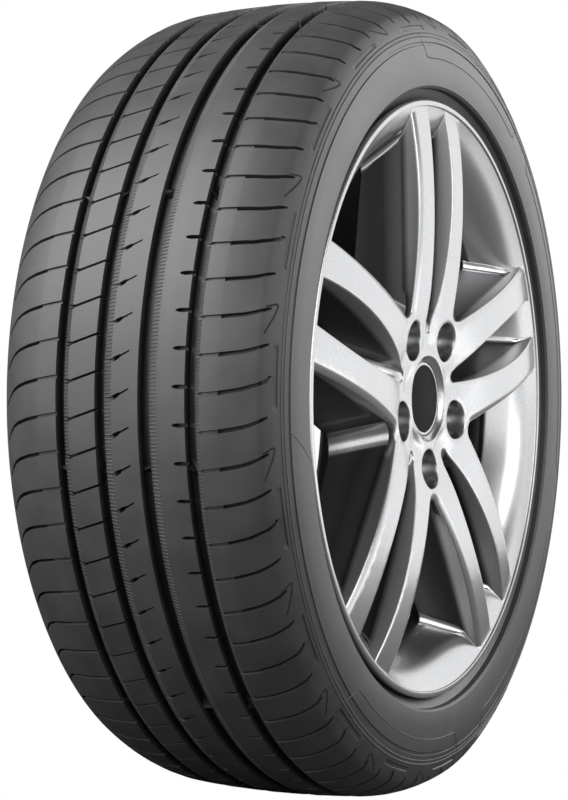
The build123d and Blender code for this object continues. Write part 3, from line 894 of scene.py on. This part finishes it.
NODE_FINISHES = {
    "cap_body": "cap_silver",
    "cap_disc": "cap_dark",
    "cap_spring_ring": "spring_steel",
    "valve_rubber": "valve_rubber",
    "valve_stem": "valve_brass",
    "valve_core": "valve_brass",
    "valve_cap": "valve_cap_plastic",
}
SPECKS_FROM = 0.35
SPECKS_TO = 0.65
GRAIN_SCALE = 12
GRAIN_DEPTH = 0.00004
LACQUER_ROUGHNESS = 0.08
CAP_DARK_SPECULAR = 0.06
# Painted shade down in the grooves: near-black colours of the rubber below the crown
GROOVE_SHADE_COLOURS = ((0.006, 0.006, 0.006), (0.009, 0.009, 0.009))
GROOVE_SPECKS = 40.0

# Silver paint of the wheel, with painted shade and light: the two colours of each area. The face colour is
# the paint's own; the wall, crease, flare, shade and barrel colours are painted shade, darker the deeper they
# lie, and the upper colour is painted light on flanks that face up
FACE_PAINT = ((0.58, 0.585, 0.595), (0.66, 0.665, 0.675))
WALL_SHADE_PAINT = ((0.46, 0.465, 0.47), (0.52, 0.525, 0.53))
CREASE_SHADE_PAINT = ((0.05, 0.05, 0.052), (0.06, 0.06, 0.062))
FLARE_SHADE_PAINT = ((0.10, 0.102, 0.104), (0.12, 0.122, 0.124))
UPPER_LIGHT_PAINT = ((0.27, 0.272, 0.275), (0.31, 0.312, 0.315))
SHADE_PAINT = ((0.008, 0.008, 0.009), (0.011, 0.011, 0.012))
BARREL_SHADE_PAINT = ((0.045, 0.045, 0.047), (0.06, 0.06, 0.062))
# Where an area starts and is full, in metres along Y or from the axis, or by a part of the normal
WALL_TO_CREASE = (-0.099, -0.094)
CREASE_TO_FLARE = (-0.094, -0.070)
FLARE_TO_BARREL = (-0.070, -0.042)
SHADE_DEPTH = (-0.091, -0.080)
SHADE_NORMALS = (("X", -0.50, -0.85), ("Y", -0.30, -0.36), ("Z", -0.56, -0.36))
HUB_SPAN = (0.076, 0.070)
FACE_NORMAL = (-0.44, -0.50)
UPPER_NORMAL = (0.25, 0.75)
PAINT_SPECKS = (900.0, 2.0)
PAINT_UNEVENNESS = 30.0
PAINT_ROUGHNESS = (0.44, 0.48)
POLISH = -0.20
PAINT_LACQUER = 0.2
PAINT_LACQUER_ROUGHNESS = 0.06
EDGE_RADIUS = 0.0014
EDGE_SAMPLES = 6


def new_material(name):
    """New material with its node tree and its shader."""
    material = bpy.data.materials.new(name)
    material.use_nodes = True
    return material, material.node_tree, material.node_tree.nodes["Principled BSDF"]


def feed(tree, node, inputs):
    """Links a node's inputs to sockets, or sets them to plain values."""
    for name, value in inputs.items():
        if isinstance(value, bpy.types.NodeSocket):
            tree.links.new(value, node.inputs[name])
        else:
            node.inputs[name].default_value = value


def add_node(tree, kind, inputs, **settings):
    """New node with its settings and inputs."""
    node = tree.nodes.new(kind)
    for name, value in settings.items():
        setattr(node, name, value)
    feed(tree, node, inputs)
    return node


def noise(tree, scale, detail=4.0):
    """Noise in the object's own coordinates."""
    place = tree.nodes.new("ShaderNodeTexCoord").outputs["Object"]
    inputs = {"Vector": place, "Scale": scale, "Detail": detail}
    return add_node(tree, "ShaderNodeTexNoise", inputs).outputs["Fac"]


def ramp(tree, factor, low, high):
    """Colour that runs from low to high as the factor grows."""
    node = tree.nodes.new("ShaderNodeValToRGB")
    node.color_ramp.elements[0].position = SPECKS_FROM
    node.color_ramp.elements[1].position = SPECKS_TO
    node.color_ramp.elements[0].color = (*low, 1.0)
    node.color_ramp.elements[1].color = (*high, 1.0)
    tree.links.new(factor, node.inputs["Fac"])
    return node.outputs["Color"]


def between(tree, value, start, end, low=0.0, high=1.0):
    """Value that runs from low to high as another runs from start to end."""
    inputs = {"Value": value, "From Min": start, "From Max": end, "To Min": low, "To Max": high}
    return add_node(tree, "ShaderNodeMapRange", inputs).outputs["Result"]


def part_of(tree, vector, axis, start, end):
    """Share from 0 to 1 as one part of a vector runs from start to end."""
    split = add_node(tree, "ShaderNodeSeparateXYZ", {"Vector": vector})
    return between(tree, split.outputs[axis], start, end)


def calculate(tree, operation, *values):
    """Result of a math node from sockets and plain numbers."""
    node = add_node(tree, "ShaderNodeMath", dict(enumerate(values)), operation=operation)
    return node.outputs["Value"]


def blend(tree, factor, first, second):
    """Colour that goes from the first to the second as the factor grows."""
    inputs = {"Factor": factor, 6: first, 7: second}
    return add_node(tree, "ShaderNodeMix", inputs, data_type="RGBA").outputs[2]


def axis_distance(tree, place):
    """Distance of a place from the wheel's axis."""
    flat = add_node(tree, "ShaderNodeVectorMath", {0: place, 1: (1.0, 0.0, 1.0)}, operation="MULTIPLY")
    radius = add_node(tree, "ShaderNodeVectorMath", {0: flat.outputs["Vector"]}, operation="LENGTH")
    return radius.outputs["Value"]


def plain_finish(name, low, high, metallic, rough, scale, lacquer):
    """Finish with a slight unevenness in its colour, gloss and surface."""
    material, tree, shader = new_material(name)
    specks = noise(tree, scale)
    height = noise(tree, scale * GRAIN_SCALE)
    grain = add_node(tree, "ShaderNodeBump", {"Distance": GRAIN_DEPTH, "Height": height})
    feed(tree, shader, {
        "Base Color": ramp(tree, specks, low, high),
        "Roughness": between(tree, specks, 0.0, 1.0, *rough),
        "Normal": grain.outputs["Normal"],
        "Metallic": metallic,
        "Coat Weight": lacquer,
        "Coat Roughness": LACQUER_ROUGHNESS,
    })
    return material


def paint_groove_shade(material):
    """Painted shade: makes rubber near black down in the grooves and sipes, by how far it lies below the
    crown's arc.
    """
    tree = material.node_tree
    colour = tree.nodes["Principled BSDF"].inputs["Base Color"]
    surface = colour.links[0].from_socket
    place = tree.nodes.new("ShaderNodeNewGeometry").outputs["Position"]
    split = add_node(tree, "ShaderNodeSeparateXYZ", {"Vector": place})
    square = calculate(tree, "MULTIPLY", split.outputs["Y"], split.outputs["Y"])
    bend = 1 / (2 * FLAT_ARC_RADIUS * MILLIMETRE)
    level = calculate(tree, "MULTIPLY_ADD", square, bend, axis_distance(tree, place))
    start = (TYRE_RADIUS - GROOVE_DARK_FROM) * MILLIMETRE
    end = (TYRE_RADIUS - GROOVE_DARK_TO) * MILLIMETRE
    on_flat = calculate(tree, "LESS_THAN", square, (FLAT_HALF_WIDTH * MILLIMETRE) ** 2)
    share = calculate(tree, "MULTIPLY", between(tree, level, start, end), on_flat)
    dark = ramp(tree, noise(tree, GROOVE_SPECKS), *GROOVE_SHADE_COLOURS)
    tree.links.new(blend(tree, share, surface, dark), colour)


def alloy_paint_with_shade():
    """Silver paint under clear lacquer, bright on what faces outboard, with painted shade greyer on the
    spokes' sides, darker deeper down them and dark in the barrel behind them, and painted light on flanks
    that face up. Edges are softened."""
    material, tree, shader = new_material("silver_paint_with_painted_shade")
    specks = noise(tree, *PAINT_SPECKS)
    geometry = tree.nodes.new("ShaderNodeNewGeometry")
    place = geometry.outputs["Position"]
    normal = geometry.outputs["Normal"]

    def paint(colours):
        """Specked colour of one area, the paint's own on the faces and painted shade and light elsewhere."""
        return ramp(tree, specks, *colours)

    # Painted shade on the spokes' sides, darker from the front backwards, with painted light on flanks that
    # face up, deeper painted shade in the windows, and the hub's holes in the wall's shade colour
    wall = paint(WALL_SHADE_PAINT)
    # Painted light: flanks that face up get a lighter colour than the dark flare shade
    flare = blend(tree, part_of(tree, normal, "Z", *UPPER_NORMAL), paint(FLARE_SHADE_PAINT), paint(UPPER_LIGHT_PAINT))
    side = blend(tree, part_of(tree, place, "Y", *CREASE_TO_FLARE), paint(CREASE_SHADE_PAINT), flare)
    side = blend(tree, part_of(tree, place, "Y", *WALL_TO_CREASE), wall, side)
    shade = part_of(tree, place, "Y", *SHADE_DEPTH)
    for axis, start, end in SHADE_NORMALS:
        shade = calculate(tree, "MULTIPLY", shade, part_of(tree, normal, axis, start, end))
    side = blend(tree, shade, side, paint(SHADE_PAINT))
    in_hub = between(tree, axis_distance(tree, place), *HUB_SPAN)
    side = blend(tree, in_hub, side, wall)

    facing = part_of(tree, normal, "Y", *FACE_NORMAL)
    colour = blend(tree, facing, side, paint(FACE_PAINT))
    # Painted shade: the barrel behind the spokes is near black, deeper than the flare
    colour = blend(tree, part_of(tree, place, "Y", *FLARE_TO_BARREL), colour, paint(BARREL_SHADE_PAINT))
    polished = calculate(tree, "MAXIMUM", facing, in_hub)
    rough = between(tree, noise(tree, PAINT_UNEVENNESS), 0.0, 1.0, *PAINT_ROUGHNESS)
    edge = add_node(tree, "ShaderNodeBevel", {"Radius": EDGE_RADIUS}, samples=EDGE_SAMPLES)
    feed(tree, shader, {
        "Base Color": colour,
        "Roughness": calculate(tree, "MULTIPLY_ADD", polished, POLISH, rough),
        "Normal": edge.outputs["Normal"],
        "Coat Normal": edge.outputs["Normal"],
        "Metallic": 1.0,
        "Coat Weight": PAINT_LACQUER,
        "Coat Roughness": PAINT_LACQUER_ROUGHNESS,
    })
    return material


finishes = {name: plain_finish(name, *values) for name, values in PLAIN_FINISHES.items()}
# Painted shade in the grooves and sipes of the tread
paint_groove_shade(finishes["tyre_rubber"])
dark_shader = finishes["cap_dark"].node_tree.nodes["Principled BSDF"]
dark_shader.inputs["Specular IOR Level"].default_value = CAP_DARK_SPECULAR
for node_name, finish_name in NODE_FINISHES.items():
    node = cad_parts[node_name]
    node.data.materials.clear()
    node.data.materials.append(finishes[finish_name])

# Tyre
TYRE_SHARP_ANGLE = math.radians(28)
tyre = mesh_piece("tyre_detail", *tyre_skin())
tyre.data.materials.append(finishes["tyre_rubber"])
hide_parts("tyre")
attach(tyre, "root")
tyre.data.shade_smooth()
tyre.data.set_sharp_from_angle(angle=TYRE_SHARP_ANGLE)
tyre_lines = []
for name, drawn, finish_name in (
    ("tyre_chamfer_ribs", chamfer_ribs(), "tyre_rubber"),
    # The hook marks take the near-black painted shade of engraved lines
    ("tyre_hook_marks", hook_marks(), "tyre_line_shade"),
    ("tyre_panel_edges", side_lines(PANEL_EDGES, PANEL_SIZE), "tyre_rubber"),
):
    piece = mesh_piece(name, *drawn)
    piece.data.materials.append(finishes[finish_name])
    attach(piece, "root")
    tyre_lines.append(piece)

# Wheel
WHEEL_SHARP_ANGLE = math.radians(40)
wheel = mesh_piece("wheel_detail", *wheel_shell())
# Silver paint with painted shade on the spokes' sides and in the barrel, and painted light on up-facing
# flanks
wheel.data.materials.append(alloy_paint_with_shade())
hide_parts("alloy_wheel")
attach(wheel, "root")
wheel.data.shade_smooth()
wheel.data.set_sharp_from_angle(angle=WHEEL_SHARP_ANGLE)

# Stage: pale floor, white surroundings and soft lamps
FLOOR_HALF_SIZE = 4000.0
FLOOR_GAP = 0.5
FLOOR_COLOURS = ((0.44, 0.44, 0.44), (0.47, 0.47, 0.47))
FLOOR_SPECKS = 3.0
FLOOR_ROUGHNESS = 0.8
WHITE = (1.0, 1.0, 1.0, 1.0)
SKY_LIGHT = 0.10


def shader_switch(tree, first, second):
    """First shader for light on its way round the scene, second for what the camera sees directly."""
    direct = tree.nodes.new("ShaderNodeLightPath").outputs["Is Camera Ray"]
    return add_node(tree, "ShaderNodeMixShader", {"Fac": direct, 1: first, 2: second}).outputs["Shader"]


def floor_finish():
    """Pale floor that the camera sees as white."""
    material, tree, shader = new_material("pale_floor")
    colour = ramp(tree, noise(tree, FLOOR_SPECKS), *FLOOR_COLOURS)
    feed(tree, shader, {"Base Color": colour, "Roughness": FLOOR_ROUGHNESS})
    white = tree.nodes.new("ShaderNodeEmission")
    seen = shader_switch(tree, shader.outputs["BSDF"], white.outputs["Emission"])
    tree.links.new(seen, tree.nodes["Material Output"].inputs["Surface"])
    return material


floor_corners = ((-1, -1), (1, -1), (1, 1), (-1, 1))
floor_points = np.array([
    (x * FLOOR_HALF_SIZE, y * FLOOR_HALF_SIZE, -TYRE_RADIUS - FLOOR_GAP) for x, y in floor_corners
])
floor = mesh_piece("floor", floor_points, [(0, 1, 2, 3)])
floor.data.materials.append(floor_finish())

world = bpy.data.worlds.new("surroundings")
world.use_nodes = True
bpy.context.scene.world = world
sky = world.node_tree
dim = sky.nodes["Background"]
feed(sky, dim, {"Color": WHITE, "Strength": SKY_LIGHT})
bright = add_node(sky, "ShaderNodeBackground", {"Color": WHITE})
sky.links.new(
    shader_switch(sky, dim.outputs["Background"], bright.outputs["Background"]),
    sky.nodes["World Output"].inputs["Surface"],
)


def lamp(name, place, target, width, height, power):
    """Soft rectangular lamp aimed at a point, in metres and watts."""
    data = bpy.data.lights.new(name, "AREA")
    data.shape = "RECTANGLE"
    data.size = width
    data.size_y = height
    data.energy = power
    piece = bpy.data.objects.new(name, data)
    bpy.context.scene.collection.objects.link(piece)
    aim = np.array(target) - np.array(place)
    piece.location = place
    piece.rotation_mode = "QUATERNION"
    piece.rotation_quaternion = Vector(aim).to_track_quat("-Z", "Y")
    return piece


def reach(name, pieces):
    """Collection that limits a lamp to some pieces."""
    collection = bpy.data.collections.new(name)
    for piece in pieces:
        collection.objects.link(piece)
    return collection


tyre_reach = reach("tyre_lamp_reach", [tyre] + tyre_lines)
wheel_reach = reach("wheel_lamp_reach", [wheel])
# Lamps for some pieces only, then two that light everything
for name, place, target, width, height, power, collection in (
    ("tread_lamp", (-1.45, 1.00, 1.40), (0.0, 0.0, 0.05), 1.7, 1.7, 80.0, tyre_reach),
    ("tread_low_lamp", (-2.1, 1.0, 0.15), (0.0, 0.0, 0.0), 1.0, 0.8, 12.0, tyre_reach),
    ("shoulder_lamp", (-2.0, -0.9, 0.7), (0.0, -0.1, 0.0), 2.0, 1.0, 16.0, tyre_reach),
    ("sidewall_lamp", (2.0, -1.4, 0.95), (0.0, -0.1, 0.0), 1.6, 1.8, 34.0, tyre_reach),
    ("band_lamp", (0.35, -2.0, 0.35), (-0.25, -0.1, 0.05), 0.7, 1.2, 10.0, tyre_reach),
    ("dish_lamp", (-0.95, -0.95, -0.05), (0.2, -0.08, 0.0), 1.5, 0.9, 4.5, wheel_reach),
    ("fill_lamp", (0.0, -1.4, 0.0), (0.1, -0.08, 0.0), 1.4, 0.9, 3.0, wheel_reach),
    ("left_lamp", (-1.3, -0.45, 0.1), (0.0, -0.1, 0.0), 0.5, 1.0, 1.5, wheel_reach),
    ("low_front_lamp", (0.55, -0.9, -0.15), (0.1, 0.0, 0.1), 0.8, 0.3, 0.5, wheel_reach),
    ("upper_lamp", (1.0, 0.15, 1.1), (0.0, -0.1, 0.0), 0.8, 0.8, 0.45, wheel_reach),
):
    lamp(name, place, target, width, height, power).light_linking.receiver_collection = collection
lamp("face_lamp", (1.13, -0.84, 0.40), (0.0, -0.1, 0.40), 1.62, 1.34, 7.3)
lamp("front_lamp", (-0.5, -2.2, 0.9), (0.0, 0.0, 0.0), 0.9, 1.2, 12.0)

# Camera, fitted to the photo
FOCAL_PIXELS = 2120.0
PICTURE_HEIGHT = 800.0
SENSOR = 36.0
CAMERA_PLACE = (-1.5596, -0.7449, 0.0090)
CAMERA_YAW = 63.548
CAMERA_PITCH = -0.338
camera_data = bpy.data.cameras.new("camera")
camera_data.sensor_width = SENSOR
camera_data.lens = FOCAL_PIXELS / PICTURE_HEIGHT * SENSOR
camera = bpy.data.objects.new("camera", camera_data)
bpy.context.scene.collection.objects.link(camera)
camera.location = CAMERA_PLACE
camera.rotation_euler = (math.radians(90 + CAMERA_PITCH), 0.0, -math.radians(CAMERA_YAW))
bpy.context.scene.camera = camera

bpy.context.scene.view_settings.view_transform = "Standard"
